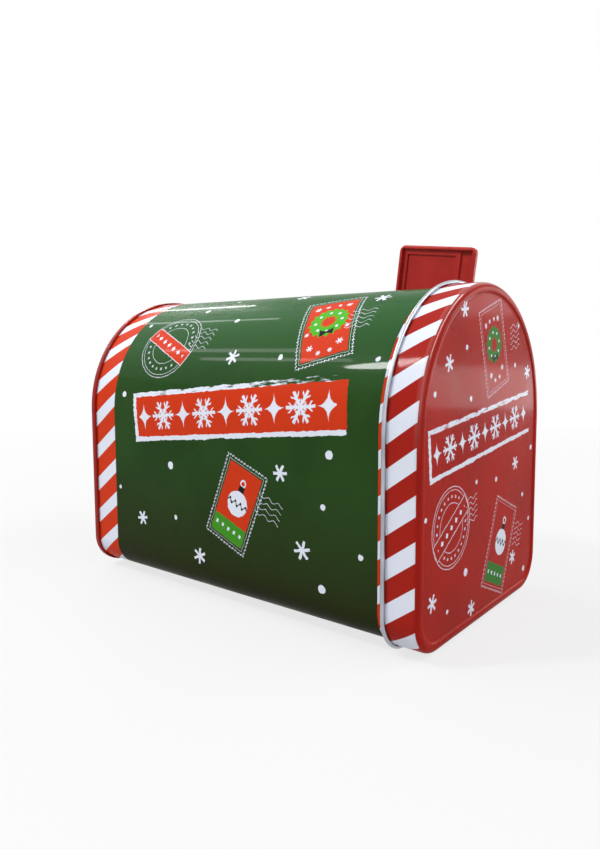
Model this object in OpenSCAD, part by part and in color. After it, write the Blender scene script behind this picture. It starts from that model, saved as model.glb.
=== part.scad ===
// Tin money box in the shape of a mailbox: a wrapped tinplate shell with a coin slot in its crown,
// a double-seamed rear panel, a slip lid with a rolled edge, and a moulded flag on a rivet.
// Millimetres. +Z is up, the lid is at -Y, and the flag is on the +X side.

/* [Shell] */
// Outside width of the shell, which is also the diameter of its arch
body_w = 102; // [90:1:120]
// Height of the upright side, from the flat base to the start of the arch
side_h = 72; // [60:0.2:90]
// Outside radius of the two bottom corners
corner_r = 13; // [10:0.5:20]
// Whole length, from the lid's face to the rear seam
total_len = 172; // [140:1:220]
// Thickness of the tinplate
tin_t = 0.3; // [0.25:0.05:0.35]

/* [Coin slot] */
// Length of the slot along the crown
slot_len = 40; // [30:1:45]
// Clear width of the slot
slot_w = 4.6; // [3:0.2:5]
// How far the slot's edges are turned in
slot_lip = 1.4; // [1:0.1:2]

/* [Lid] */
// Distance from the lid's face to the middle of its rolled edge
lid_depth = 12.8; // [10:0.1:16]
// How far the lid's skirt stands outside the shell
lid_stand = 1.2; // [1.1:0.05:1.6]
// Outside radius of the rolled edge
curl_r = 0.8; // [0.7:0.05:1.1]
// Outside radius of the lid's front edge
lid_edge_r = 2.2; // [1.8:0.1:2.4]
// How far the face is pressed in behind its rim
lid_recess = 0.6; // [0.4:0.1:0.8]

/* [Flag] */
// Length of the flag from its pivot to its top
flag_len = 85; // [70:1:90]
// Width of the flag's panel, with the staff
flag_w = 39.2; // [34:0.2:44]
// Height of the flag's panel
panel_h = 30; // [26:1:36]
// Width of the staff
staff_w = 8; // [7:0.2:10]
// Thickness of the flag's rim
flag_t = 2.6; // [2.4:0.1:3]
// Forward lean of the raised flag
flag_lean = 7; // [0:1:10]
// Distance of the pivot behind the lid's face
pivot_back = 44; // [36:0.2:60]
// Height of the pivot above the ground
pivot_z = 63.6; // [56:0.2:70]

/* [Hidden] */
$fn = 72;
half_t = tin_t / 2;
arch_r = body_w / 2;
front_y = -total_len / 2;
rear_y = total_len / 2;
// The rolled edge touches the ground, so the shell's base is this high.
base_z = lid_stand + 2 * curl_r - tin_t;
arch_z = base_z + side_h;

// Double seam: chuck wall, shell wall, cover hook, body hook and cover wall lie on each other.
seam_h = 3.1;
seam_mid_y = rear_y - 2.5 * tin_t;
seam_low_y = rear_y - seam_h + 1.5 * tin_t;
panel_y = rear_y - 3.4;
panel_bend_r = 0.8;

// Rolled bead at the shell's open end, on which the lid slides
bead_r = 0.35;
bead_y = front_y + 2.4;

// Lid
skirt_n = lid_stand - half_t;
curl_mid_r = curl_r - half_t;
curl_y = front_y + lid_depth;
edge_mid_r = lid_edge_r - half_t;
rim_w = 0.7;
step_w = 1.4;
face_in = -6;

// Lock seam along the base
lock_w = 4;
lock_h = 0.7;
lock_groove = 0.12;

// Flag and its pivot
pivot_y = front_y + pivot_back;
washer_t = 0.8;
play = 0.05;
shank_r = 1.6;
pivot_hole_r = 1.68;
wall_hole_r = 1.65;
washer_r = 5;
flag_x = arch_r + washer_t + play;
rim_t = 1.5;
band_w = 2.5;
band_floor = 1.5;
field_floor = 2.2;
mould_t = 0.8;
channel_w = 6.2;
hub_r = 6.5;
flag_round = 3;
field_raise = field_floor - band_floor;
head_r = 3.6;
head_h = 0.9;
clinch_r = 2.7;
clinch_h = 0.8;

// ---- Sheet-metal profiles: a path of [n, y] points, with n counted outwards from the shell's outside ----

// Points on an arc from angle a to angle b
function arc(n, y, r, a, b, steps = 10) =
    [for (i = [0:steps]) let (t = a + (b - a) * i / steps) [n + r * cos(t), y + r * sin(t)]];

function unit(v) = v / norm(v);
function left_of(v) = [-v.y, v.x];

// The path moved sideways by d, with mitred corners
function beside(path, d) = [
    for (i = [0:len(path) - 1])
        let (
            before = unit(path[max(i, 1)] - path[max(i, 1) - 1]),
            after = unit(path[min(i, len(path) - 2) + 1] - path[min(i, len(path) - 2)]),
            across = unit(left_of(before) + left_of(after))
        )
        path[i] + across * d / (across * left_of(after))
];

function backwards(list) = [for (i = [len(list) - 1:-1:0]) list[i]];

// A strip of tinplate whose middle follows the path
function strip(path) = concat(beside(path, half_t), backwards(beside(path, -half_t)));

// ---- Sweeping a profile round the mailbox outline ----

module bend(points, r, from, angle) {
    rotate([90, 0, 0])
        rotate([0, 0, from])
            rotate_extrude(angle = angle)
                polygon([for (p = points) [r + p.x, -p.y]]);
}

module both_sides() {
    children();
    mirror([1, 0, 0]) children();
}

module round_outline(points) {
    translate([0, 0, arch_z]) bend(points, arch_r, 0, 180);
    both_sides() {
        translate([0, 0, base_z + corner_r])
            linear_extrude(side_h - corner_r)
                polygon([for (p = points) [arch_r + p.x, p.y]]);
        translate([arch_r - corner_r, 0, base_z + corner_r]) bend(points, corner_r, 270, 90);
    }
    translate([corner_r - arch_r, 0, base_z])
        rotate([0, 90, 0])
            linear_extrude(body_w - 2 * corner_r) polygon(points);
}

// The mailbox outline as a flat plate, n outside the shell, from y to y + thick
module outline_plate(n, y, thick) {
    r = corner_r + n;
    translate([0, y + thick, 0])
        rotate([90, 0, 0])
            linear_extrude(thick)
                union() {
                    translate([0, arch_z]) circle(arch_r + n);
                    translate([-arch_r - n, base_z + corner_r]) square([body_w + 2 * n, side_h - corner_r]);
                    translate([corner_r - arch_r, base_z - n]) square([body_w - 2 * corner_r, side_h + n]);
                    for (side = [-1, 1])
                        translate([side * (arch_r - corner_r), base_z + corner_r]) circle(r);
                }
}

// ---- Shell ----

shell_path = concat(
    arc(bead_r - half_t, bead_y, bead_r, 60, -180, 16),
    arc(half_t, seam_mid_y, tin_t, 180, 0, 8),
    [[half_t + tin_t, seam_low_y + tin_t]]
);

// Slot outline, grown by the given amount, standing through the crown
module slot_prism(grow, z, height) {
    translate([0, 0, z])
        linear_extrude(height) {
            square([slot_w + 2 * grow, slot_len - slot_w], center = true);
            for (end = [-1, 1])
                translate([0, end * (slot_len - slot_w) / 2]) circle(slot_w / 2 + grow);
        }
}

module slot_lips() {
    crown_z = arch_z + arch_r;
    intersection() {
        slot_prism(tin_t, crown_z - tin_t - slot_lip, slot_lip + tin_t);
        translate([0, slot_len, arch_z]) rotate([90, 0, 0]) cylinder(h = 2 * slot_len, r = arch_r);
    }
}

// The folded joint of the sheet's two edges, along the inside of the base
module lock_seam() {
    length = panel_y - bead_y - 2;
    translate([-lock_w / 2, bead_y + 1, base_z + tin_t / 2]) cube([lock_w, length, lock_h + tin_t / 2]);
}

module lock_grooves() {
    for (side = [-1, 1])
        translate([side * lock_w / 2 - lock_groove, bead_y + 1, base_z - lock_groove])
            cube([2 * lock_groove, panel_y - bead_y - 2, 2 * lock_groove]);
}

module body_shell() {
    color("darkgreen")
        difference() {
            union() {
                round_outline(strip(shell_path));
                slot_lips();
                lock_seam();
            }
            slot_prism(0, arch_z + arch_r - 3, 6);
            lock_grooves();
            translate([arch_r - 3, pivot_y, pivot_z]) rotate([0, 90, 0]) cylinder(h = 6, r = wall_hole_r);
        }
}

// ---- Rear panel ----

rear_path = concat(
    [[half_t, seam_mid_y - half_t]],
    arc(half_t + tin_t, seam_low_y, tin_t, 180, 360, 8),
    arc(half_t, seam_mid_y, 2 * tin_t, 0, 180, 12),
    arc(-half_t - tin_t - panel_bend_r, panel_y + panel_bend_r, panel_bend_r, 0, -90, 6),
    [[face_in, panel_y]]
);

module rear_panel() {
    color("firebrick") {
        round_outline(strip(rear_path));
        outline_plate(face_in, panel_y - half_t, tin_t);
    }
}

// ---- Lid ----

lid_path = concat(
    arc(skirt_n + curl_mid_r, curl_y, curl_mid_r, -110, 180, 24),
    arc(skirt_n - edge_mid_r, front_y + lid_edge_r, edge_mid_r, 0, -90, 8),
    [for (i = [0:8])
        [skirt_n - edge_mid_r - rim_w - step_w * i / 8,
         front_y + half_t + lid_recess * (1 - cos(180 * i / 8)) / 2]],
    [[face_in, front_y + half_t + lid_recess]]
);

module front_lid() {
    color("crimson") {
        round_outline(strip(lid_path));
        outline_plate(face_in, front_y + lid_recess, tin_t);
    }
}

// ---- Flag, drawn upright in the Y-Z plane with its pivot at the origin and its thickness along +X ----

module rounded_box(low, high, r) {
    size = high - low;
    translate(low) {
        translate([r, 0]) square([size.x - 2 * r, size.y]);
        translate([0, r]) square([size.x, size.y - 2 * r]);
        for (x = [r, size.x - r], y = [r, size.y - r])
            translate([x, y]) circle(r);
    }
}

// A flat shape drawn in Y and Z, standing from x to x + thick
module upright(x, thick) {
    translate([x, 0, 0])
        rotate([90, 0, 90])
            linear_extrude(thick) children();
}

staff_top = [staff_w / 2, flag_len];
panel_low = [-staff_w / 2, flag_len - panel_h];
panel_high = [flag_w - staff_w / 2, flag_len];

module flag_outline() {
    circle(hub_r);
    rounded_box([-staff_w / 2, 0], staff_top, flag_round);
    rounded_box(panel_low, panel_high, flag_round);
}

// A rectangle between two corners, grown on all sides
module patch(low, high, grow = 0) {
    translate([low.x - grow, low.y - grow])
        square([high.x - low.x + 2 * grow, high.y - low.y + 2 * grow]);
}

hollow_x = -staff_w / 2 + rim_t;
hollow_top = flag_len - rim_t;
band_low = [hollow_x + channel_w, flag_len - panel_h + rim_t];
band_high = [flag_w - staff_w / 2 - rim_t, hollow_top];

// The staff's channel, wider beside the panel, and the panel's field: the deepest hollows
module deep_hollows(grow = 0) {
    patch([hollow_x, hub_r + 1.8], [-hollow_x, hollow_top], grow);
    patch([hollow_x, band_low.y], [band_low.x, hollow_top], grow);
    patch(band_low + [band_w, band_w], band_high - [band_w, band_w], grow);
}

module flag() {
    color("red")
        translate([flag_x, pivot_y, pivot_z])
            rotate([flag_lean, 0, 0])
                difference() {
                    union() {
                        upright(0, flag_t) flag_outline();
                        upright(flag_t, field_raise) deep_hollows(mould_t);
                    }
                    upright(-1, 1 + band_floor) patch(band_low, band_high);
                    upright(-1, 1 + field_floor) deep_hollows();
                    upright(-1, flag_t + 2) circle(pivot_hole_r);
                }
}

// ---- Pivot ----

module along_x(x) {
    translate([x, pivot_y, pivot_z]) rotate([0, 90, 0]) children();
}

module washer(x, thick, hole_r) {
    along_x(x)
        difference() {
            cylinder(h = thick, r = washer_r);
            translate([0, 0, -1]) cylinder(h = thick + 2, r = hole_r);
        }
}

module flag_washer() {
    color("white") washer(arch_r, washer_t, wall_hole_r);
}

module rivet_washer() {
    color("gainsboro") washer(arch_r - tin_t - washer_t, washer_t, wall_hole_r);
}

module flag_rivet() {
    inner_end = arch_r - tin_t - washer_t - clinch_h;
    head_low = flag_x + flag_t + play - inner_end;
    clinch_hole_r = 0.9;
    color("silver")
        along_x(inner_end)
            rotate_extrude()
                polygon(concat(
                    [[clinch_hole_r, 0], [clinch_r - 0.3, 0], [clinch_r, 0.3], [clinch_r, clinch_h]],
                    [[shank_r, clinch_h], [shank_r, head_low], [head_r, head_low]],
                    [for (i = [0:6]) [head_r * cos(15 * i), head_low + 0.2 + (head_h - 0.2) * sin(15 * i)]],
                    [[0, 2], [clinch_hole_r, 1.4]]
                ));
}

body_shell();
rear_panel();
front_lid();
flag();
flag_rivet();
flag_washer();
rivet_washer();
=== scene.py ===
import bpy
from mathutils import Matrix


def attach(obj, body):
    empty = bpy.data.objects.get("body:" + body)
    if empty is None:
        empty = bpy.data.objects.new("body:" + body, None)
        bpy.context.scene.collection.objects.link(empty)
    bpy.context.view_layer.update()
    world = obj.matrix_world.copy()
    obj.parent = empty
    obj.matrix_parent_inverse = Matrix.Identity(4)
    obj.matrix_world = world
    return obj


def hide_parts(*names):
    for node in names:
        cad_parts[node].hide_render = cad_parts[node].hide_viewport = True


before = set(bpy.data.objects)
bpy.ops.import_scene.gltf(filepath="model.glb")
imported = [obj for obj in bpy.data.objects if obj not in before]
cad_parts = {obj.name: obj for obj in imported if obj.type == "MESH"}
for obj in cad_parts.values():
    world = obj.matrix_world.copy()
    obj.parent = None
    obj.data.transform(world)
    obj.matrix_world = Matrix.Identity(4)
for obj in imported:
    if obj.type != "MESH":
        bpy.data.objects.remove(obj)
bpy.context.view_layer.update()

import math
from math import cos, radians, sin

import bmesh
import bpy
from mathutils import Matrix, Vector

# ======== Camera ========
# Close to the tin and a little below its crown, off the corner between the left wall and the lid.

view = bpy.data.cameras.new("view")
view.lens = 28.9
view.shift_x = -0.0012
view.shift_y = -0.0130
view.clip_start = 0.01
camera = bpy.data.objects.new("camera", view)
bpy.context.scene.collection.objects.link(camera)
camera.matrix_world = (
    Matrix.Translation((-0.23844, -0.18706, 0.10291))
    @ Matrix.Rotation(radians(-51.53), 4, "Z")
    @ Matrix.Rotation(radians(90 - 5.44), 4, "X")
    @ Matrix.Rotation(radians(-0.2), 4, "Z")
)
bpy.context.scene.camera = camera
bpy.context.scene.view_settings.view_transform = "Standard"


# ======== Shell ========
# One sheet of lacquered tinplate, printed flat and then wrapped round the mailbox outline.
# Its front edge is rolled outwards into a bead under the lid, and its rear edge is hooked into
# the seam. The coin slot is punched in the crown and its edges are turned in.

# Values times mm are in metres. The others are millimetres, for the sheet's profiles and edges,
# or counts of steps.
mm = 0.001
arch_r = 51 * mm
arch_z = 74.5 * mm
corner_r = 13 * mm
corner_x = arch_r - corner_r
corner_z = 15.5 * mm
arch_steps = 112
corner_steps = 16
sheet = 0.28 * mm
layer = 0.3
bead_r = 0.35
bead_out = 0.2
bead_y = -83.6
hook_y = 85.25
hook_end_y = 83.7
groove_x = 2 * mm
groove_half = 0.36 * mm
groove_rise = 0.126 * mm
slot_reach = 17.7
slot_half = 2.3
slot_bend = 0.5
lip_depth = 1.4
lip_roll = (
    (0.12, 0.02), (0.26, 0.09), (0.38, 0.2), (0.46, 0.34), (slot_bend, 0.55), (slot_bend, lip_depth)
)


def is_vert(part):
    return isinstance(part, bmesh.types.BMVert)


def is_edge(part):
    return isinstance(part, bmesh.types.BMEdge)


def whole(faces):
    """The faces with their edges and corners, always in the same order."""
    return list(dict.fromkeys(part for face in faces for part in (face, *face.edges, *face.verts)))


def settle(bm):
    """Sorts the mesh by place. Cuts leave it in no fixed order, and later steps depend on it."""
    def spots(part):
        verts = [part] if is_vert(part) else part.verts
        return sorted([round(at, 8) for at in vert.co] for vert in verts)
    for kind in (bm.verts, bm.edges, bm.faces):
        rank = {part: index for index, part in enumerate(sorted(kind, key=spots))}
        kind.sort(key=rank.get)


def roll_end(out, along, radius, angle):
    """Where the cut edge of a rolled sheet lies on its roll."""
    return (out + radius * cos(radians(angle)), along + radius * sin(radians(angle)))


def draw_profile(bm, start, moves):
    """Draws a sheet's cross section where the arch springs on the right. Points are millimetres out
    from the shell and along the tin. A move of two numbers is a straight line to that point, and
    one of four rolls the line round a centre, by an angle, in so many steps."""
    vert = bm.verts.new((arch_r + start[0] * mm, start[1] * mm, arch_z))
    for move in moves:
        place = (arch_r + move[0] * mm, move[1] * mm, arch_z)
        if len(move) == 2:
            vert = bmesh.ops.extrude_vert_indiv(bm, verts=[vert])["verts"][0]
            vert.co = place
        else:
            rolled = bmesh.ops.spin(
                bm, geom=[vert], cent=place, axis=(0, 0, 1), angle=radians(move[2]), steps=move[3]
            )
            vert = next(part for part in rolled["geom_last"] if is_vert(part))


def bend(bm, chain, centre, angle, steps):
    turned = bmesh.ops.spin(
        bm, geom=chain, cent=centre, axis=(0, -1, 0), angle=radians(angle), steps=steps
    )
    return turned["geom_last"]


def carry(bm, chain, by):
    made = bmesh.ops.extrude_edge_only(bm, edges=[part for part in chain if is_edge(part)])["geom"]
    verts = [part for part in made if is_vert(part)]
    bmesh.ops.translate(bm, vec=Vector(by), verts=verts)
    edges = [part for part in made if is_edge(part) and set(part.verts) <= set(verts)]
    return verts + edges


def wrap(bm, grooves=()):
    """Carries the profile once round the mailbox outline and closes it on itself. A narrow strip
    beside each bend keeps the shading of the flat walls flat."""
    margin = 3 * mm
    wall = arch_z - corner_z
    chain = bend(bm, bm.verts[:] + bm.edges[:], (0, 0, arch_z), 180, arch_steps)
    for drop in (margin, wall - 2 * margin, margin):
        chain = carry(bm, chain, (0, 0, -drop))
    chain = bend(bm, chain, (-corner_x, 0, corner_z), 90, corner_steps)
    at = -corner_x
    for x, z in ((-corner_x + margin, 0), *grooves, (corner_x - margin, 0), (corner_x, 0)):
        chain = carry(bm, chain, (x - at, 0, z))
        at = x
    chain = bend(bm, chain, (corner_x, 0, corner_z), 90, corner_steps)
    for rise in (margin, wall - 2 * margin, margin):
        chain = carry(bm, chain, (0, 0, rise))
    bmesh.ops.remove_doubles(bm, verts=bm.verts[:], dist=1e-6)


def face_out(bm):
    """Turns the sheet so that its broadest face on the crown points up."""
    bmesh.ops.recalc_face_normals(bm, faces=bm.faces[:])
    level = [f for f in bm.faces if abs(f.normal.z) > 0.9 and f.calc_center_median().z > arch_z]
    if max(level, key=lambda face: face.calc_area()).normal.z < 0:
        bmesh.ops.reverse_faces(bm, faces=bm.faces[:])


def cut_window(bm, faces, centre, along, across, reach, radius, sides):
    """Cuts a round-ended window through the faces and returns its edge loop. along and across are
    unit vectors, and reach is how far each end's centre lies from the middle."""
    centre, along, across = Vector(centre), Vector(along), Vector(across)
    cuts = []
    for index in range(sides):
        turn = 2 * math.pi * index / sides
        way = along * cos(turn) + across * sin(turn)
        end = centre + along * reach * (1 if cos(turn) > 1e-6 else -1 if cos(turn) < -1e-6 else 0)
        cuts.append((end + way * radius, way))
    pieces = faces
    for place, way in cuts:
        done = bmesh.ops.bisect_plane(
            bm, geom=whole(pieces), dist=1e-7, plane_co=place, plane_no=way
        )
        pieces = [part for part in done["geom"] if isinstance(part, bmesh.types.BMFace)]
    gone = [
        face for face in pieces
        if all((face.calc_center_median() - place).dot(way) < 0 for place, way in cuts)
    ]
    rim = [
        edge for face in gone for edge in face.edges
        if any(side not in gone for side in edge.link_faces)
    ]
    bmesh.ops.delete(bm, geom=gone, context="FACES")
    return rim


def into_object(bm, name, body):
    mesh = bpy.data.meshes.new(name)
    settle(bm)
    bm.normal_update()
    bm.to_mesh(mesh)
    bm.free()
    for polygon in mesh.polygons:
        polygon.use_smooth = True
    piece = bpy.data.objects.new(name, mesh)
    bpy.context.scene.collection.objects.link(piece)
    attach(piece, body)
    return piece


def thicken(piece):
    gauge = piece.modifiers.new("gauge", "SOLIDIFY")
    gauge.thickness = sheet
    gauge.offset = 0
    gauge.use_even_offset = True
    gauge.material_offset = 1


shell_bm = bmesh.new()
draw_profile(shell_bm, roll_end(bead_out, bead_y, bead_r, 60), [
    (bead_out, bead_y, -240, 20), (-layer / 2, -82), (-layer / 2, 81), (-layer / 2, hook_y),
    (layer / 2, hook_y, -180, 8), (layer * 1.5, hook_end_y),
])
# A groove on each side of the lock seam. Each point is its place and its rise from the last one.
grooves = []
for side in (-1, 1):
    grooves += [
        (side * groove_x - groove_half, 0),
        (side * groove_x, groove_rise),
        (side * groove_x + groove_half, -groove_rise),
    ]
wrap(shell_bm, grooves)

# The slot, with its sheet edge rolled down in small steps. It is cut from a patch of the long
# narrow faces along the top of the crown.
crown = arch_z + arch_r
patch_half = 24 * mm
crown_depth = 0.4 * mm
long_face = 20 * mm * mm
patch = [
    face for face in shell_bm.faces
    if face.calc_center_median().z > crown - crown_depth and face.calc_area() > long_face
]
for end in (-1, 1):
    done = bmesh.ops.bisect_plane(
        shell_bm, geom=whole(patch), dist=1e-7,
        plane_co=(0, end * patch_half, crown), plane_no=(0, 1, 0),
    )
    patch = [part for part in done["geom"] if isinstance(part, bmesh.types.BMFace)]
patch = [face for face in patch if abs(face.calc_center_median().y) < patch_half]
rim = cut_window(
    shell_bm, patch, (0, 0, crown), (0, 1, 0), (1, 0, 0),
    slot_reach * mm, (slot_half + slot_bend) * mm, 24,
)
lip = rim + list(dict.fromkeys(vert for edge in rim for vert in edge.verts))
inward = 0
down = 0
for next_inward, next_down in lip_roll:
    lip = carry(shell_bm, lip, (0, 0, -(next_down - down) * mm))
    for vert in (part for part in lip if is_vert(part)):
        middle_y = max(-slot_reach * mm, min(slot_reach * mm, vert.co.y))
        to_middle = Vector((0, middle_y, vert.co.z)) - vert.co
        vert.co += to_middle.normalized() * (next_inward - inward) * mm
    inward, down = next_inward, next_down
face_out(shell_bm)
shell = into_object(shell_bm, "printed_shell", "body")
thicken(shell)
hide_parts("body_shell")


class Wire:
    """A socket of a material's nodes. Arithmetic on it adds the Math nodes that work it out."""

    def __init__(self, tree, socket=None):
        self.tree = tree
        self.socket = socket

    def node(self, kind, inputs=(), output=0, **settings):
        made = self.tree.nodes.new("ShaderNode" + kind)
        for name, value in settings.items():
            setattr(made, name, value)
        for place, value in inputs.items() if isinstance(inputs, dict) else enumerate(inputs):
            if isinstance(value, Wire):
                self.tree.links.new(value.socket, made.inputs[place])
            else:
                made.inputs[place].default_value = value
        return Wire(self.tree, made.outputs[output] if made.outputs else None)

    def math(self, operation, *others):
        return self.node("Math", (self, *others), operation=operation)

    def __add__(self, other):
        return self.math("ADD", other)

    __radd__ = __add__

    def __sub__(self, other):
        return self.math("SUBTRACT", other)

    def __rsub__(self, other):
        return self.node("Math", (other, self), operation="SUBTRACT")

    def __mul__(self, other):
        return self.math("MULTIPLY", other)

    __rmul__ = __mul__

    def __truediv__(self, other):
        return self.math("DIVIDE", other)

    def __abs__(self):
        return self.math("ABSOLUTE")


def least(first, *rest):
    for other in rest:
        first = first.math("MINIMUM", other)
    return first


def most(first, *rest):
    for other in rest:
        first = first.math("MAXIMUM", other)
    return first


def parts(vector):
    first = vector.node("SeparateXYZ", (vector,))
    return [Wire(vector.tree, out) for out in first.socket.node.outputs]


def joined(x, y):
    return x.node("CombineXYZ", (x, y))


def length(vector):
    return vector.node("VectorMath", (vector,), output=1, operation="LENGTH")


def inside(distance, blur=0.07):
    """1 where the distance is below zero, 0 where it is above, with a soft edge."""
    stops = {"Value": distance, "From Min": -blur, "From Max": blur, "To Min": 1.0, "To Max": 0.0}
    return distance.node("MapRange", stops)


def between(value, low, high, to_low=0.0, to_high=1.0):
    stops = {"Value": value, "From Min": low, "From Max": high, "To Min": to_low, "To Max": to_high}
    return value.node("MapRange", stops)


def paint(mask, under, over):
    """The over colour where the mask is 1, and the under colour elsewhere."""
    return mask.node("Mix", {0: mask, 6: under, 7: over}, output=2, data_type="RGBA")


def noise(vector, scale, detail=2.0, roughness=0.5, output=0, stretch=None):
    if stretch:
        vector = vector.node("VectorMath", (vector, stretch), operation="MULTIPLY")
    inputs = {"Vector": vector, "Scale": scale, "Detail": detail, "Roughness": roughness}
    return vector.node("TexNoise", inputs, output=output)


def ink(red, green, blue):
    """A printing colour written as on a screen, from 0 to 255."""
    def linear(value):
        value /= 255
        return value / 12.92 if value <= 0.04045 else ((value + 0.055) / 1.055) ** 2.4
    return (linear(red), linear(green), linear(blue), 1.0)


def new_material(name):
    material = bpy.data.materials.new(name)
    material.use_nodes = True
    material.node_tree.nodes.clear()
    return material, Wire(material.node_tree)


def finish_material(wire, inputs):
    shader = wire.node("BsdfPrincipled", inputs)
    wire.node("OutputMaterial", {"Surface": shader})


def millimetres(wire):
    place = wire.node("TexCoord", output=3)
    return place.node("VectorMath", {0: place, 3: 1000.0}, operation="SCALE")


def unrolled(x, z, base, radius, corner):
    """How far up the wall a point lies when the sheet is laid flat, in millimetres from the base."""
    spring = arch_z / mm
    corner_up = corner_z / mm
    corner_across = corner_x / mm
    base_zone = 10.0
    beside = abs(x)
    over_arch = radius * most(z - spring, 0.0).math("ARCTAN2", beside)
    past_corner = most(beside - corner_across, 0.0)
    round_corner = corner * most(corner_up - z, 0.0).math("ARCTAN2", past_corner)
    upright = least(most(z, corner_up) - spring, 0.0) + (spring - base)
    under = most(corner_across - beside, 0.0) * z.math("LESS_THAN", base_zone)
    return upright + over_arch - round_corner - under


def hand_drawn(place, flat, scale, sway):
    """Moves the print about by a fraction of a millimetre, as ink drawn by hand lies."""
    drift = noise(place, scale, detail=3.0, output=1)
    drift = drift.node("VectorMath", (drift, (0.5, 0.5, 0.5)), operation="SUBTRACT")
    return drift.node("VectorMath", (drift, (sway, sway, sway), flat), operation="MULTIPLY_ADD")


# The motifs. Unless its own note says otherwise, each gives a distance in millimetres that is
# below zero on the printed mark.

def local(sheet_place, centre, turn):
    """The place across and up, as seen from a motif's middle and along its tilt."""
    inputs = (sheet_place, (centre[0], centre[1], 0.0), (0.0, 0.0, radians(turn)))
    return sheet_place.node("Mapping", inputs, vector_type="TEXTURE")


def gap_to(sheet_place, centre):
    inputs = (sheet_place, (centre[0], centre[1], 0.0))
    return sheet_place.node("VectorMath", inputs, output=1, operation="DISTANCE")


def snow_dot(sheet_place, across, up, radius):
    return gap_to(sheet_place, (across, up)) - radius


def nearest_arm(a, b):
    """How far out a point lies, and its angle from the nearest of six arms."""
    out = length(joined(a, b))
    return out, b.math("ARCTAN2", a).math("PINGPONG", radians(30))


def six_arms(a, b, radius, arm):
    out, fan = nearest_arm(a, b)
    return most(out * fan.math("SINE") - arm, out - radius)


def snow_star(sheet_place, across, up, radius, turn, arm):
    a, b, _ = parts(local(sheet_place, (across, up), turn))
    return six_arms(a, b, radius, arm)


def snowfall(sheet_place, dots, stars, arm):
    """Each dot is its place and radius, and each star its place, radius and turn."""
    marks = [snow_dot(sheet_place, *dot) for dot in dots]
    marks += [snow_star(sheet_place, *star, arm) for star in stars]
    return least(*marks)


def box_gap(a, b, width, height):
    return most(abs(a) - width / 2, abs(b) - height / 2)


def ring(sheet_place, centre, radius, line):
    return abs(gap_to(sheet_place, centre) - radius) - line


def cancel_waves(sheet_place, centre, turn, long, lines, gap=2.4):
    """Wavy lines side by side, as a cancelled stamp carries."""
    a, b, _ = parts(local(sheet_place, centre, turn))
    wavy = b + 0.6 * (a * 1.25).math("SINE")
    shift = gap / 2 * (1 - lines % 2)
    line = (wavy + shift).math("PINGPONG", gap / 2) - 0.13
    return most(line, box_gap(a, wavy, long, (lines - 0.5) * gap))


def stamp_edge(a, b, width, height):
    """A perforated stamp's edge: a zigzag line with a thin straight one inside it."""
    edge = box_gap(a, b, width, height)
    zigzag = abs(edge + 0.75 * (a + b).math("PINGPONG", 0.8) - 0.25) - 0.16
    return least(zigzag, abs(edge + 1.35) - 0.06)


def brushed(a, b, scale):
    """The streaks of a dry brush along a border, as a number about zero."""
    return noise(joined(a, b), scale, detail=4.0, stretch=(0.35, 1.6, 1.0)) - 0.5


def crystal_row(a, b, pitch, arm, reach, barbs, barb_reach, spark):
    """Snow crystals in a row, with a four-pointed spark between each two. A barb gives where it
    leaves the arm, half its line's width and how far it stands off."""
    out, fan = nearest_arm(a.node("Math", (a + pitch, -pitch, pitch), operation="WRAP"), b)
    along_arm = out * fan.math("COSINE")
    off_arm = out * fan.math("SINE")
    twigs = least(*[
        most(abs(off_arm - (along_arm - start)) - line, off_arm - stand)
        for start, line, stand in barbs
    ])
    crystals = least(most(off_arm - arm, out - reach), most(twigs, out - barb_reach))
    spark_a = a.node("Math", (a, -pitch, pitch), operation="WRAP")
    sparks = abs(spark_a).math("SQRT") + abs(b * 0.85).math("SQRT") - spark
    return least(crystals, sparks)


def bauble_marks(a, b, centre, cap_size, cap_up, loop_r, loop_up, dots_down, dot_half):
    """A bauble over a row of dots: first what prints white, then its black cap and zigzag."""
    across, up = centre
    card = joined(a, b)
    ball = gap_to(card, centre) - 5.2
    loop = ring(card, (across, up + loop_up), loop_r, 0.3)
    dots = most(abs(a).math("PINGPONG", 1.6) - 0.55, abs(b + dots_down) - dot_half, abs(a) - 7.2)
    cap = box_gap(a - across, b - (up + cap_up), *cap_size)
    zigzag = most(abs(b - up + 0.9 * (a * 2.2).math("SINE")) - 0.5, ball)
    return least(ball, loop, dots), least(cap, zigzag)


def wreath_marks(a, b, up, radius, width, points, leaf, berry, bow):
    """A wreath: its leaves, its berries and the bow below it. The bow gives how far down it is,
    half its knot's height and half its length."""
    turn = (b - up).math("ARCTAN2", a)
    off_ring = gap_to(joined(a, b), (0.0, up)) - radius
    leaves = abs(off_ring) - width + leaf * (turn * points).math("SINE")
    berries = length(joined(turn.math("PINGPONG", radians(22.5)) * radius, off_ring)) - berry
    down, knot, half = bow
    return leaves, berries, most(abs(b + down) - abs(a) * 0.5 - knot, abs(a) - half)


def postmark_rings(sheet_place, centre, rings, dots_r, dot, band_a, band_b):
    """Fine rings and a ring of dots, which are spaced by their angle from the band."""
    fine = least(*[ring(sheet_place, centre, radius, line) for radius, line in rings])
    beat = band_b.math("ARCTAN2", band_a).math("PINGPONG", radians(7.5)) * dots_r
    return least(fine, most(ring(sheet_place, centre, dots_r, dot), abs(beat) - dot))


def diamond_row(a, b, pitch, size, half):
    return most(abs(a.math("PINGPONG", pitch)) + abs(b) - size, abs(a) - half)


def stripes(up, along, lean, start, pitch, half):
    """1 on the white ones of the slanting stripes, 0 on the others."""
    across = ((up + lean * along - start) / pitch).math("FRACT") * pitch
    return inside(abs(across - half) - half)


print_orange = ink(198, 54, 20)
print_white = ink(218, 223, 236)
print_black = ink(24, 22, 24)
leaf_green = ink(74, 168, 34)
foot_green = ink(62, 140, 36)

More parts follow.
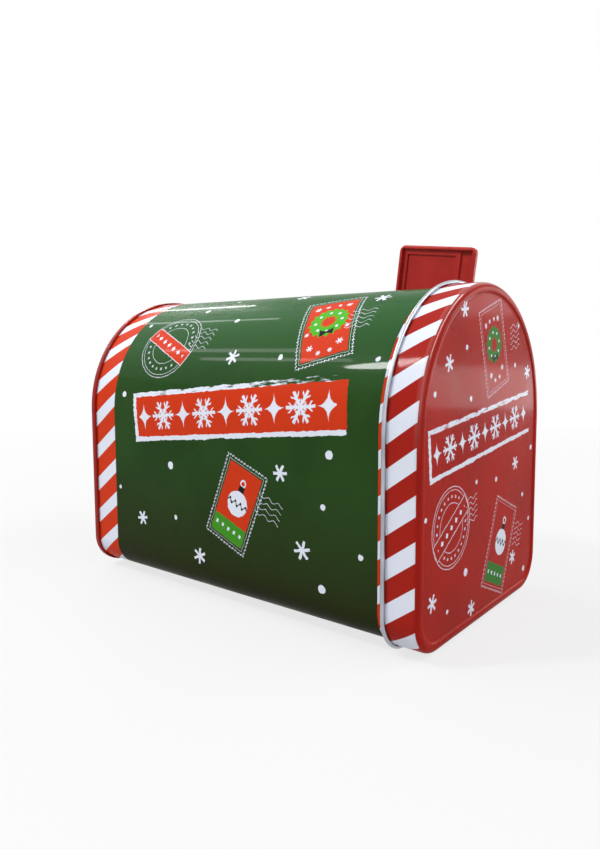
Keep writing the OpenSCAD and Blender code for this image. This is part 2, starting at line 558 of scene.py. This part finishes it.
shell_print, wire = new_material("shell_print")
place = millimetres(wire)
x, y, z = parts(place)
up_sheet = unrolled(x, z, base=2.1, radius=arch_r / mm, corner=corner_r / mm)
# Both walls carry the same print, each read from its own left to its own right.
print_half = 74.35
print_middle_y = -0.35
over_sheet = print_half + x.math("SIGN") * (y - print_middle_y)
hand = hand_drawn(place, joined(over_sheet, up_sheet), scale=0.55, sway=0.9)
snow = snowfall(hand, (
    (11.4, 80.9, 1.3), (9.4, 116.9, 1.0), (38.3, 127.3, 1.3), (63.2, 118.3, 1.2),
    (97.2, 98.8, 1.15), (139.8, 98.3, 0.95), (41.9, 52.1, 1.6), (7.5, 38.9, 0.8),
    (44.6, 30.3, 0.9), (124.3, 64.2, 1.6), (121.7, 45.6, 1.1), (137.5, 30.6, 1.05),
    (121.2, 16.1, 1.6), (47.6, 138.4, 1.0),
), (
    (22.8, 26.9, 3.2, 8), (72.5, 98.7, 3.3, 20), (102.1, 55.5, 3.3, 4), (112.3, 28.5, 3.7, 12),
    (58.9, 16.4, 3.4, 25), (126.2, 132.5, 3.4, 8), (83.6, 139.8, 3.2, 16),
), arm=0.55)

# Label: an orange field in a brushed white border, with a row of snow crystals and sparks
label_a, label_b, _ = parts(local(hand, (74.6, 76.6), 5.7))
brush = brushed(label_a, label_b, 0.5)
outer = box_gap(label_a, label_b, 112.5, 21.0) + brush * 1.8
field = box_gap(label_a - 1.2, label_b, 111.0, 17.2) - brush * 1.2
worn = inside(0.12 - brush - 0.005 * most(label_a, 0.0)) * inside(8.4 - label_b, 0.3)
label_white = inside(outer) * (1 - worn)
row = crystal_row(
    label_a, label_b, pitch=12.3, arm=0.6, reach=6.6, barbs=((3.4, 0.45, 1.9), (1.4, 0.4, 1.2)),
    barb_reach=6.9, spark=2.3,
)
row = most(row, abs(label_a) - 52.5)

# Lower stamp: a bauble over a green foot
low_a, low_b, _ = parts(local(hand, (79.6, 40.7), -22.2))
low_picture = box_gap(low_a, low_b, 17.4, 30.4)
low_foot = most(low_picture, low_b + 7.6)
low_white, low_black = bauble_marks(
    low_a, low_b, centre=(0.6, 0.6), cap_size=(3.0, 2.4), cap_up=6.3, loop_r=1.2, loop_up=8.8,
    dots_down=11.0, dot_half=0.7,
)

# Upper stamp: a wreath with white berries on orange
high_a, high_b, _ = parts(local(hand, (112.0, 114.3), 17.6))
high_picture = box_gap(high_a, high_b, 19.4, 31.9)
leaves, berries, bow = wreath_marks(
    high_a, high_b, up=1.6, radius=5.4, width=2.4, points=17.0, leaf=0.55, berry=0.62,
    bow=(4.4, 0.35, 2.8),
)
stamp_snow = least(
    six_arms(abs(high_a) - 6.4, high_b - 11.6, 1.3, 0.26),
    six_arms(abs(high_a) - 6.2, high_b + 10.6, 1.4, 0.26),
    six_arms(abs(high_a) - 2.4, abs(high_b + 0.6) - 13.0, 0.9, 0.22),
    six_arms(abs(high_a) - 8.3, high_b + 3.4, 0.9, 0.22),
)

# Postmark: three rings, a slanting band and a row of diamonds in place of words
band_a, band_b, _ = parts(local(hand, (31.5, 104.6), -25.6))
band = box_gap(band_a, band_b, 31.4, 7.2)
band_row = diamond_row(band_a, band_b, pitch=2.2, size=1.2, half=13.0)
rings = ((16.0, 0.15), (14.7, 0.12), (9.6, 0.12))
mark = postmark_rings(hand, (31.7, 105.0), rings, 12.2, 0.5, band_a, band_b)
band_clear = 0.3
fine_lines = least(
    most(mark, band_clear - band),
    abs(band) - 0.2,
    cancel_waves(hand, (50.0, 108.5), -8, 11.5, 5),
    cancel_waves(hand, (96.4, 41.2), -18, 12.5, 4),
    cancel_waves(hand, (124.8, 117.6), 6, 10.5, 5),
)
white = least(
    snow, stamp_edge(low_a, low_b, 21.5, 34.5), stamp_edge(high_a, high_b, 23.5, 36.0),
    low_white, most(band_row, band), berries, stamp_snow,
)

# Striped bands at both ends, on the flat sheet the same all round
front_band_y = -70.2
rear_band_y = 69.5
front_white = stripes(up_sheet, y + 70.5, lean=0.74, start=16.2, pitch=15.13, half=3.1)
rear_white = stripes(up_sheet, y - 72, lean=0.74, start=12.9, pitch=15.1, half=3.2)

tone = noise(place, 0.03, detail=3.0)
colour = paint(between(tone, 0.35, 0.65), ink(30, 60, 21), ink(37, 69, 26))
# Painted shade: the green darkens to a dark brown towards the base, standing in for the dimmer light
# and dark reflections low on the walls.
colour = paint(between(up_sheet, 55.0, 0.0, 0.0, 0.9), colour, ink(38, 34, 14))
# Painted sheen: the green turns lighter over the arch, standing in for the light that falls on the
# crown.
colour = paint(between(up_sheet, 80.0, 120.0), colour, ink(37, 84, 38))
colour = paint(label_white, colour, print_white)
colour = paint(inside(field), colour, print_orange)
colour = paint(inside(most(row, field + 1.0)), colour, print_white)
colour = paint(inside(least(low_picture, high_picture, band)), colour, print_orange)
colour = paint(inside(low_foot), colour, foot_green)
colour = paint(inside(leaves), colour, leaf_green)
colour = paint(inside(fine_lines) * 0.75, colour, print_white)
colour = paint(inside(white), colour, print_white)
colour = paint(inside(least(low_black, bow)), colour, print_black)
colour = paint(inside(y - front_band_y), colour, paint(front_white, print_orange, print_white))
colour = paint(inside(rear_band_y - y), colour, paint(rear_white, print_orange, print_white))


def lacquered(wire, place, colour, gloss, haze, along=(1.0, 0.04, 1.0)):
    """Clear lacquer over printing ink. gloss is how strongly its coat shines and haze how blurred
    the shine is. The sheet keeps long shallow waves and the fine ridges of the rolling mill, which
    run the way that along gives, and the lacquer a faint orange peel."""
    waves = noise(place, 0.035, detail=1.0, stretch=(1.0, 0.3, 1.0))
    ridges = noise(place, 0.4, detail=2.0, stretch=along)
    peel = noise(place, 1.1, detail=2.0)
    height = waves * 0.5 + ridges * 0.07 + peel * 0.001
    smudge = noise(place, 0.06, detail=4.0, roughness=0.6)
    finish_material(wire, {
        "Base Color": colour,
        "Roughness": between(smudge, 0.3, 0.7, 0.22, 0.38),
        "Normal": height.node("Bump", {"Strength": 1.0, "Distance": mm, "Height": height}),
        "Coat Weight": between(smudge, 0.3, 0.7, 0.015, -0.015) + gloss,
        "Specular IOR Level": 0.01,
        "Coat Roughness": haze,
    })


# The lacquer is rubbed dull round the base, where the tin is slid about.
lacquered(wire, place, colour, gloss=between(z, 4.0, 20.0, 0.02, 0.11), haze=0.04)

# The inside of the sheet: bare tin with soft grey clouds and the rolling direction along the tin
bare_tin, wire = new_material("bare_tin")
place = millimetres(wire)
cloud = noise(place, 0.08, detail=4.0, roughness=0.6)
rolling = noise(place, 1.6, detail=3.0, stretch=(1.0, 0.04, 1.0))
tin_height = rolling * 0.01
finish_material(wire, {
    "Base Color": paint(between(cloud, 0.3, 0.7), ink(150, 155, 164), ink(186, 190, 197)),
    "Metallic": 1.0,
    "Roughness": between(cloud * 0.6 + rolling * 0.4, 0.3, 0.7, 0.24, 0.4),
    "Normal": tin_height.node("Bump", {"Strength": 1.0, "Distance": mm, "Height": tin_height}),
})
shell.data.materials.append(shell_print)
shell.data.materials.append(bare_tin)


# ======== Rear panel ========
# A stamped plate of plain red tinplate, sunk 3 mm and bent down round the shell's rear edge in a
# double seam, which leaves the narrow dark ring that frames the striped band.

panel_y = 82.6
panel_bend = 0.8
panel_hook_y = 83.35
rubbed_from_y = 84.9
shine_from_y = 84.0

rear_bm = bmesh.new()
draw_profile(rear_bm, (layer / 2, 85.1), [
    (layer / 2, panel_hook_y), (layer * 1.5, panel_hook_y, 180, 8), (layer * 2.5, hook_y),
    (layer / 2, hook_y, 180, 16), (-layer * 1.5, panel_y + panel_bend),
    (-layer * 1.5 - panel_bend, panel_y + panel_bend, -90, 8), (-2.5, panel_y), (-6, panel_y),
])
wrap(rear_bm)
panel_rim = [
    edge for edge in rear_bm.edges
    if edge.is_boundary and abs(edge.verts[0].co.y - panel_y * mm) < 1e-6
]
bmesh.ops.contextual_create(rear_bm, geom=panel_rim)
face_out(rear_bm)
rear = into_object(rear_bm, "seamed_rear_panel", "body")
thicken(rear)
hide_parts("rear_panel")

panel_red, wire = new_material("panel_red")
place = millimetres(wire)
_, y, _ = parts(place)
tone = noise(place, 0.04, detail=3.0)
red = paint(between(tone, 0.35, 0.65), ink(138, 26, 22), ink(150, 31, 26))
fleck = noise(place, 0.9, detail=4.0, roughness=0.7)
rubbed = inside(rubbed_from_y - y, 0.5) * between(fleck, 0.68, 0.74)
red = paint(rubbed * 0.5, red, ink(96, 40, 36))
seam_gloss = inside(shine_from_y - y, 0.5) * 0.4 + 0.11
lacquered(wire, place, red, gloss=seam_gloss, haze=0.06)
rear.data.materials.append(panel_red)
rear.data.materials.append(bare_tin)


# ======== Lock seam ========
# The two edges of the wrapped sheet, hooked into each other and hammered flat along the inside
# of the base.

seam_size = Vector((4, 162, 0.6)) * mm
seam_middle = Vector((0, -0.6, 3.12)) * mm

seam_bm = bmesh.new()
bmesh.ops.create_cube(seam_bm, size=1)
bmesh.ops.scale(seam_bm, vec=seam_size, verts=seam_bm.verts[:])
long_edges = [
    edge for edge in seam_bm.edges if abs(edge.verts[0].co.y - edge.verts[1].co.y) > mm
]
bmesh.ops.bevel(
    seam_bm, geom=long_edges, affect="EDGES", offset=sheet, segments=4, profile=0.5, material=-1
)
bmesh.ops.translate(seam_bm, vec=seam_middle, verts=seam_bm.verts[:])
lock_seam = into_object(seam_bm, "lock_seam", "body")
lock_seam.data.materials.append(bare_tin)


# ======== Lid ========
# One drawn cap of red tinplate: the face is pressed in a little behind its rim, the skirt carries
# the stripes, and the open edge is rolled outwards into a curl that shows bare metal.

skirt_out = 1.05
curl_r = 0.65
curl_y = -73.2
nose_r = 2.05
nose_y = -83.8
face_y = -85.25
rim_y = nose_y - nose_r
# The face lies behind its rim by a step of two equal arcs.
step_start = -1.7
step_end = -3.1
step_turn = 2 * math.degrees(math.atan2(face_y - rim_y, step_start - step_end))
step_r = (step_start - step_end) / 2 / sin(radians(step_turn))

lid_bm = bmesh.new()
draw_profile(lid_bm, roll_end(skirt_out + curl_r, curl_y, curl_r, -110), [
    (skirt_out + curl_r, curl_y, 290, 30), (skirt_out, -76), (skirt_out, nose_y),
    (skirt_out - nose_r, nose_y, -90, 12), (step_start, rim_y),
    (step_start, rim_y + step_r, -step_turn, 5), (step_end, face_y - step_r, step_turn, 5),
    (-4.3, face_y), (-8, face_y),
])
wrap(lid_bm)
face_rim = [
    edge for edge in lid_bm.edges if edge.is_boundary and edge.verts[0].co.y < -85 * mm
]
bmesh.ops.contextual_create(lid_bm, geom=face_rim)
face_out(lid_bm)
lid = into_object(lid_bm, "striped_lid", "lid")
thicken(lid)
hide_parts("front_lid")

lid_print, wire = new_material("lid_print")
place = millimetres(wire)
x, y, z = parts(place)
lid_out = skirt_out + layer / 2
up_lid = unrolled(x, z, base=0.6, radius=arch_r / mm + lid_out, corner=corner_r / mm + lid_out)
face_base = -1.1
hand = hand_drawn(place, joined(x, z - face_base), scale=0.6, sway=0.7)
snow = snowfall(hand, (
    (-18.6, 104.3, 0.9), (25.7, 97.2, 0.9), (-41.6, 89.2, 1.0), (-14.5, 86.3, 1.0),
    (45.5, 62.2, 1.1), (9.4, 54.0, 1.0), (-8.4, 55.7, 0.8), (37.2, 43.4, 0.9),
    (-46.7, 49.1, 0.9), (-16.2, 24.2, 1.5), (40.7, 10.9, 1.2), (-30.3, 13.9, 0.8),
    (45.0, 31.7, 0.8), (28.3, 112.6, 0.8),
), (
    (-20.7, 117.2, 2.9, 6), (-31.7, 99.1, 3.0, 14), (39.0, 94.1, 2.9, 20), (28.5, 57.7, 2.9, 3),
    (-41.4, 20.1, 3.1, 10), (-10.9, 9.3, 2.9, 24), (27.9, 18.9, 2.9, 15),
), arm=0.5)

# Label: the brushed border and the row alone, on the lid's red
label_a, label_b, _ = parts(local(hand, (-1.8, 73.4), 5.8))
brush = brushed(label_a, label_b, 0.6)
outer = box_gap(label_a, label_b, 87.0, 17.4) + brush * 1.5
field = box_gap(label_a - 1.1, label_b, 86.0, 14.2) - brush * 1.0
worn = inside(0.1 - brush) * inside(6.6 - label_b, 0.3)
row = crystal_row(
    label_a, label_b, pitch=9.5, arm=0.5, reach=5.0, barbs=((2.6, 0.38, 1.5),), barb_reach=5.2,
    spark=1.95,
)
row = most(row, abs(label_a) - 40.2)

# The two stamps, with no ground colour of their own
low_a, low_b, _ = parts(local(hand, (14.4, 27.0), -23.0))
low_foot = most(box_gap(low_a, low_b, 17.2, 30.0), low_b + 7.4)
low_white, low_black = bauble_marks(
    low_a, low_b, centre=(0.4, 1.4), cap_size=(2.9, 2.2), cap_up=6.1, loop_r=1.25, loop_up=8.7,
    dots_down=11.2, dot_half=0.65,
)
high_a, high_b, _ = parts(local(hand, (5.0, 103.9), 17.0))
leaves, berries, bow = wreath_marks(
    high_a, high_b, up=1.4, radius=4.6, width=2.1, points=15.0, leaf=0.5, berry=0.55,
    bow=(3.8, 0.3, 2.4),
)
stamp_snow = least(
    six_arms(abs(high_a) - 5.4, high_b - 10.0, 1.1, 0.24),
    six_arms(abs(high_a) - 5.2, high_b + 9.0, 1.2, 0.24),
    six_arms(abs(high_a) - 2.0, abs(high_b + 0.6) - 11.2, 0.8, 0.2),
)

# Postmark, with its band left open
mark_centre = (-28.0, 42.9)
band_a, band_b, _ = parts(local(hand, mark_centre, 31.0))
band = box_gap(band_a, band_b, 27.5, 6.4)
rings = ((14.2, 0.16), (13.0, 0.12), (8.6, 0.13))
mark = postmark_rings(hand, mark_centre, rings, 10.8, 0.45, band_a, band_b)
band_row = diamond_row(band_a, band_b, pitch=2.0, size=1.1, half=11.4)
band_clear = 0.25
fine_lines = least(
    stamp_edge(low_a, low_b, 21.6, 34.8),
    stamp_edge(high_a, high_b, 20.2, 32.2),
    most(mark, band_clear - band),
    abs(band) - 0.18,
    cancel_waves(hand, (-12.0, 46.5), 4, 9.0, 5, 2.1),
    cancel_waves(hand, (32.8, 27.6), -20, 8.5, 5, 2.1),
    cancel_waves(hand, (24.5, 108.5), 8, 9.0, 5, 2.1),
)
white = least(snow, band_row, low_white, berries, stamp_snow)

tone = noise(place, 0.03, detail=3.0)
red = paint(between(tone, 0.35, 0.65), ink(152, 26, 16), ink(166, 31, 20))
face_green = ink(52, 118, 42)
label_white = inside(outer) * (1 - inside(field)) * (1 - worn * 0.9)
face_colour = paint(label_white, red, print_white)
face_colour = paint(inside(row), face_colour, print_white)
face_colour = paint(inside(low_foot), face_colour, face_green)
face_colour = paint(inside(leaves), face_colour, face_green)
face_colour = paint(inside(fine_lines) * 0.75, face_colour, print_white)
face_colour = paint(inside(white), face_colour, print_white)
face_colour = paint(inside(least(low_black, bow)), face_colour, print_black)
skirt_white = stripes(up_lid, y + 84.6, lean=0.72, start=19.5, pitch=14.95, half=3.5)
skirt_colour = paint(skirt_white, ink(158, 32, 22), print_white)
face_from_y = -84.7
lid_colour = paint(inside(y - face_from_y), skirt_colour, face_colour)

# The rounded edge between skirt and face is the glossiest round the arch, where nothing rubs it.
edge_out = 51.2
past_spring = most(z - arch_z / mm, 0.0)
on_edge = inside(edge_out - length(joined(x, past_spring)), 0.4) * inside(y - nose_y, 0.5)
edge_gloss = on_edge * between(z, 66.0, 84.0) * 0.9 + 0.09
lacquered(wire, place, lid_colour, gloss=edge_gloss, haze=0.08, along=(0.04, 1.0, 1.0))
lid.data.materials.append(lid_print)
lid.data.materials.append(bare_tin)


# ======== Flag ========
# One moulding of red plastic, staff and panel together. A rim runs round the outline, and the
# side towards the tin is hollow, with the staff's channel and the panel's sunk field.

staff_half = 4 * mm
flag_top = 85 * mm
panel_low = 55 * mm
panel_end = 35.2 * mm
panel_round = 3 * mm
rim_round = 0.8 * mm
flag_thick = 2.6 * mm
field_sunk = 1.5
middle_sunk = 0.7
hub_r = 6.5 * mm
hole_r = 1.68 * mm
pivot = Vector((51.85, -42, 63.6)) * mm
raised_lean = 7

flag_bm = bmesh.new()
shoulder = math.sqrt(hub_r ** 2 - staff_half ** 2)
outline = [flag_bm.verts.new((0, y, z)) for y, z in (
    (-staff_half, shoulder), (-staff_half, flag_top), (panel_end, flag_top),
    (panel_end, panel_low), (staff_half, panel_low), (staff_half, shoulder),
)]
for first, second in zip(outline, outline[1:]):
    flag_bm.edges.new((first, second))
hub_turn = 2 * math.pi - 2 * math.atan2(staff_half, shoulder)
bmesh.ops.spin(flag_bm, geom=[outline[-1]], cent=(0, 0, 0), axis=(-1, 0, 0), angle=hub_turn, steps=36)
bmesh.ops.remove_doubles(flag_bm, verts=flag_bm.verts[:], dist=1e-6)
bmesh.ops.contextual_create(flag_bm, geom=flag_bm.edges[:])
corners = [
    vert for vert in flag_bm.verts
    if vert.co.z > panel_low - mm and abs(vert.co.y - staff_half) > mm
]
bmesh.ops.bevel(
    flag_bm, geom=corners, affect="VERTICES", offset=panel_round, segments=8, profile=0.5,
    material=-1,
)
bmesh.ops.remove_doubles(flag_bm, verts=flag_bm.verts[:], dist=1e-6)
rim_edges = flag_bm.edges[:]
done = bmesh.ops.extrude_face_region(flag_bm, geom=flag_bm.faces[:])
bmesh.ops.translate(flag_bm, vec=(flag_thick, 0, 0), verts=[p for p in done["geom"] if is_vert(p)])
bmesh.ops.bevel(
    flag_bm, geom=rim_edges, affect="EDGES", offset=rim_round, segments=5, profile=0.5,
    material=-1,
)
bmesh.ops.recalc_face_normals(flag_bm, faces=flag_bm.faces[:])


def level_faces(x):
    """The flag's flat faces that lie x millimetres from its back."""
    return [
        face for face in flag_bm.faces
        if abs(face.normal.x) > 0.99 and abs(face.verts[0].co.x - x * mm) < 1e-7
    ]


def press(x, patches, by):
    """Pushes the rectangles on the plane x along X. Each one is its low and its high corner."""
    for low, high in patches:
        for axis, way in ((0, (0, 1, 0)), (1, (0, 0, 1))):
            for place in (low[axis], high[axis]):
                bmesh.ops.bisect_plane(
                    flag_bm, geom=whole(level_faces(x)), dist=1e-7,
                    plane_co=Vector(way) * place * mm, plane_no=way,
                )
    pressed = []
    for face in level_faces(x):
        _, y, z = face.calc_center_median() / mm
        if any(low[0] < y < high[0] and low[1] < z < high[1] for low, high in patches):
            pressed.append(face)
    done = bmesh.ops.extrude_face_region(flag_bm, geom=whole(pressed))
    bmesh.ops.translate(flag_bm, vec=(by * mm, 0, 0), verts=[p for p in done["geom"] if is_vert(p)])


# The back is sunk inside the rim, and again in the staff's channel and the middle of the panel.
# The front stands out over those deeper places, so that the wall stays even.
front = flag_thick / mm
channel = [((-2.5, 8.3), (2.5, 83.5)), ((-2.5, 56.5), (3.7, 83.5))]
press(0, [*channel, ((3.7, 56.5), (33.7, 83.5))], field_sunk)
press(field_sunk, [*channel, ((6.2, 59), (31.2, 81))], middle_sunk)
press(front, [
    ((-3.3, 7.5), (3.3, 84.3)), ((-3.3, 55.7), (4.5, 84.3)), ((5.4, 58.2), (32, 81.8)),
], middle_sunk)
settle(flag_bm)
bmesh.ops.dissolve_limit(
    flag_bm, angle_limit=radians(1), verts=flag_bm.verts[:], edges=flag_bm.edges[:],
    delimit={"NORMAL"},
)

# The rivet's hole, through the faces round the hub: the low ones, and any that runs round its arc
hub_top = 30 * mm
arc_corners = 30
hole_rims = []
for side_x in (0, front):
    hub_faces = [
        face for face in level_faces(side_x)
        if face.calc_center_median().z < hub_top or len(face.verts) > arc_corners
    ]
    hole_rims += cut_window(
        flag_bm, hub_faces, (side_x * mm, 0, 0), (0, 1, 0), (0, 0, 1), 0, hole_r, 24
    )
bmesh.ops.bridge_loops(flag_bm, edges=hole_rims)
bmesh.ops.recalc_face_normals(flag_bm, faces=flag_bm.faces[:])
flag_place = Matrix.Translation(pivot) @ Matrix.Rotation(radians(raised_lean), 4, "X")
bmesh.ops.transform(flag_bm, matrix=flag_place, verts=flag_bm.verts[:])
flag = into_object(flag_bm, "moulded_flag", "flag")
soft_edge = flag.modifiers.new("soft_edge", "BEVEL")
soft_edge.width = 0.3 * mm
soft_edge.segments = 3
soft_edge.limit_method = "ANGLE"
soft_edge.angle_limit = radians(35)
soft_edge.harden_normals = True
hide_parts("flag")

flag_red, wire = new_material("flag_red")
place = millimetres(wire)
tone = noise(place, 0.08, detail=3.0)
grain = noise(place, 2.2, detail=3.0, roughness=0.6)
flow = noise(place, 0.12, detail=1.0)
height = grain * 0.012 + flow * 0.12
finish_material(wire, {
    "Base Color": paint(between(tone, 0.35, 0.65), ink(172, 35, 29), ink(184, 41, 35)),
    "Roughness": between(tone, 0.3, 0.7, 0.3, 0.4),
    "Normal": height.node("Bump", {"Strength": 1.0, "Distance": mm, "Height": height}),
    "Specular IOR Level": 0.2,
})
flag.data.materials.append(flag_red)


# ======== Rivet and washers ========
# A plated semi-tubular rivet through the wall, clinched inside on a steel washer. A white plastic
# washer keeps the flag off the print.

def turn_round_pivot(name, outline):
    """Turns a closed outline once round the pivot. Its points are millimetres along X and out from
    the axis."""
    bm = bmesh.new()
    ring_verts = [bm.verts.new((x * mm, pivot.y, pivot.z + r * mm)) for x, r in outline]
    for first, second in zip(ring_verts, ring_verts[1:] + ring_verts[:1]):
        if first.co.z > pivot.z + 1e-9 or second.co.z > pivot.z + 1e-9:
            bm.edges.new((first, second))
    bmesh.ops.spin(
        bm, geom=bm.verts[:] + bm.edges[:], cent=pivot, axis=(1, 0, 0), angle=radians(360),
        steps=48, use_merge=True,
    )
    bmesh.ops.remove_doubles(bm, verts=bm.verts[:], dist=1e-6)
    bmesh.ops.recalc_face_normals(bm, faces=bm.faces[:])
    piece = into_object(bm, name, "body")
    piece.data.set_sharp_from_angle(angle=radians(40))
    return piece


head_x = 54.7
head_r = 3.6
head_rise = 0.7
dome = [
    (head_x + head_rise * sin(radians(angle)), head_r * cos(radians(angle)))
    for angle in range(0, 90, 9)
]
hollow_end = [(51.1, 0), (50.5, 0.9), (49.15, 0.95)]
clinched_lip = [(49.1, 1.2), (49.14, 2.3), (49.35, 2.62), (49.9, 2.7), (49.9, 1.6)]
under_head = [(54.5, 1.6), (54.5, 3.45), (54.58, 3.57)]
rivet = turn_round_pivot(
    "clinched_rivet", [*hollow_end, *clinched_lip, *under_head, *dome, (head_x + head_rise, 0)]
)
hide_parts("flag_rivet")
wall_gap = 1.1
flat_washer = [(51.0, 1.75), (51.0, 4.85), (51.15, 5.0), (51.65, 5.0), (51.8, 4.85), (51.8, 1.75)]
spacer = turn_round_pivot("spacer_washer", flat_washer)
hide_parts("flag_washer")
clinch_washer = turn_round_pivot("clinch_washer", [(x - wall_gap, r) for x, r in flat_washer])
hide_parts("rivet_washer")

plated, wire = new_material("plated_steel")
place = millimetres(wire)
turning = noise(place, 3.0, detail=2.0)
finish_material(wire, {
    "Base Color": paint(between(turning, 0.3, 0.7), ink(168, 168, 170), ink(200, 200, 202)),
    "Metallic": 1.0,
    "Roughness": between(turning, 0.3, 0.7, 0.22, 0.36),
    "Normal": turning.node("Bump", {"Strength": 1.0, "Distance": 0.02 * mm, "Height": turning}),
})
rivet.data.materials.append(plated)
clinch_washer.data.materials.append(plated)
nylon, wire = new_material("white_nylon")
place = millimetres(wire)
cloud = noise(place, 1.5, detail=2.0)
finish_material(wire, {
    "Base Color": paint(cloud, ink(214, 213, 206), ink(228, 227, 222)),
    "Roughness": between(cloud, 0.3, 0.7, 0.45, 0.6),
    "Normal": cloud.node("Bump", {"Strength": 1.0, "Distance": 0.03 * mm, "Height": cloud}),
    "Specular IOR Level": 0.5,
})
spacer.data.materials.append(nylon)


# ======== Floor and light ========
# A white table in a pale room. One broad soft lamp hangs over the tin from behind, and a soft fill
# stands at the front left. The others are small: a strip for the lid's rounded edge, a glare and
# four tubes for the streaks on the crown, and two faint ones beside the lid.

floor_bm = bmesh.new()
bmesh.ops.create_grid(floor_bm, x_segments=1, y_segments=1, size=3)
floor_mesh = bpy.data.meshes.new("floor")
floor_bm.to_mesh(floor_mesh)
floor_bm.free()
floor = bpy.data.objects.new("floor", floor_mesh)
bpy.context.scene.collection.objects.link(floor)


def shown(wire):
    """1 where the studio is looked at, in a gloss or through glass too, and 0 where it lights."""
    rays = ("Is Camera Ray", "Is Glossy Ray", "Is Transmission Ray")
    return most(*[wire.node("LightPath", output=ray) for ray in rays])


white_card, wire = new_material("white_card")
matt = wire.node("BsdfDiffuse", {"Color": (0.6, 0.6, 0.6, 1.0)})
glow = wire.node("Emission", {"Color": (1.0, 1.0, 1.0, 1.0), "Strength": 1.0})
from_tin = length(wire.node("TexCoord", output=3))
# Near the tin a quarter of the card's own shading shows, for its shadow.
bright = shown(wire) * between(from_tin, 0.15, 0.7, 0.76, 1.0)
card = wire.node("MixShader", (bright, matt, glow))
wire.node("OutputMaterial", {"Surface": card})
floor_mesh.materials.append(white_card)

world = bpy.data.worlds.new("studio")
bpy.context.scene.world = world
world.use_nodes = True
world.node_tree.nodes.clear()
wire = Wire(world.node_tree)
room = wire.node("Background", {"Color": (1.0, 1.0, 1.0, 1.0), "Strength": 0.27})
backdrop = wire.node("Background", {"Color": (1.0, 1.0, 1.0, 1.0), "Strength": 1.0})
wire.node("OutputWorld", {"Surface": wire.node("MixShader", (shown(wire), room, backdrop))})

# Each lamp's place, what it points at, its roll, its size, its spread and its power
for name, spot, aim, roll, size, spread, power in (
    ("lamp_sky", (-0.2, 0.72, 0.95), (0, -0.03, 0.1), 0, (1.8, 1.3), 100, 3.3),
    ("lamp_fill", (-0.85, -0.85, 0.6), (0, 0, 0.07), 0, (0.8, 0.8), 180, 1.9),
    ("lamp_strip", (0.12, -0.62, 0.82), (0, -0.08, 0.1), 12, (1.0, 0.14), 180, 5.2),
    ("lamp_glare", (-0.578, 0.433, 0.787), (-0.04, -0.05, 0.1), 62, (0.225, 0.085), 180, 4.9),
    ("lamp_tube_a", (-0.38, 0.82, 0.85), (-0.05, 0.82, 0.1), 0, (0.4, 0.06), 180, 0.9),
    ("lamp_tube_b", (0.22, 0.95, 0.92), (0, 0.95, 0.1), 0, (0.5, 0.035), 180, 0.9),
    ("lamp_tube_c", (0.5, 0.95, 0.6), (0, 0.95, 0.1), 0, (0.6, 0.05), 180, 2.2),
    ("lamp_tube_d", (-0.52, 0.72, 0.8), (-0.05, 0.72, 0.1), 0, (0.4, 0.05), 180, 0.9),
    ("lamp_shelf", (0.47, -0.27, 0.06), (0, -0.085, 0.085), 0, (0.4, 0.045), 120, 0.14),
    ("lamp_side", (0.91, -0.48, 0.25), (0, -0.08, 0.1), 0, (0.5, 0.18), 90, 0.3),
):
    lamp = bpy.data.lights.new(name, "AREA")
    lamp.shape = "ELLIPSE" if name == "lamp_glare" else "RECTANGLE"
    lamp.size, lamp.size_y = size
    lamp.spread = radians(spread)
    lamp.energy = power
    holder = bpy.data.objects.new(name, lamp)
    bpy.context.scene.collection.objects.link(holder)
    turn = (Vector(aim) - Vector(spot)).to_track_quat("-Z", "Y").to_matrix().to_4x4()
    holder.matrix_world = Matrix.Translation(spot) @ turn @ Matrix.Rotation(radians(roll), 4, "Z")
